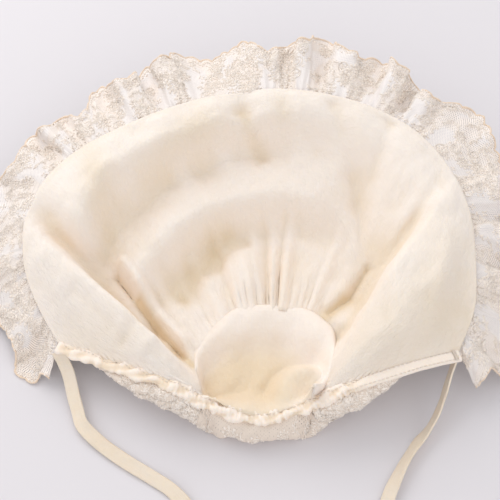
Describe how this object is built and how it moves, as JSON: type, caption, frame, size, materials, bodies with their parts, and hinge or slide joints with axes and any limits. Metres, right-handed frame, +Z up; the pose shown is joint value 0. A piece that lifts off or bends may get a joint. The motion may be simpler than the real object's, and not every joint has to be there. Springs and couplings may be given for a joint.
{
  "type": "baby bonnet",
  "caption": "Gathered cloth baby bonnet with a lace ruffle round the face edge, a ruched neck casing and flat ties, laid open on a table.",
  "frame": {"origin": "on the table, under the middle of the back panel, on the face that rests", "axes": "+X to the right along the bonnet's width, +Y from the neck edge towards the far side of the face edge, +Z up out of the open bonnet"},
  "size_m": [0.2822, 0.2623, 0.0543],
  "materials": {
    "lining": "soft cream cotton, plain weave, lightly creased",
    "lace_cloth": "cream cloth embroidered all over, matte",
    "lace": "cream net with embroidered flowers and a scalloped corded edge",
    "tape": "folded cream cotton strip, matte"
  },
  "bodies": {
    "root": {"crown_lining": "lining", "crown_shell": "lace_cloth", "back_lining": "lining", "back_shell": "lace_cloth", "neck_casing": "lining", "lace_ruffle": "lace", "tie_left": "tape", "tie_right": "tape"}
  },
  "joints": []
}
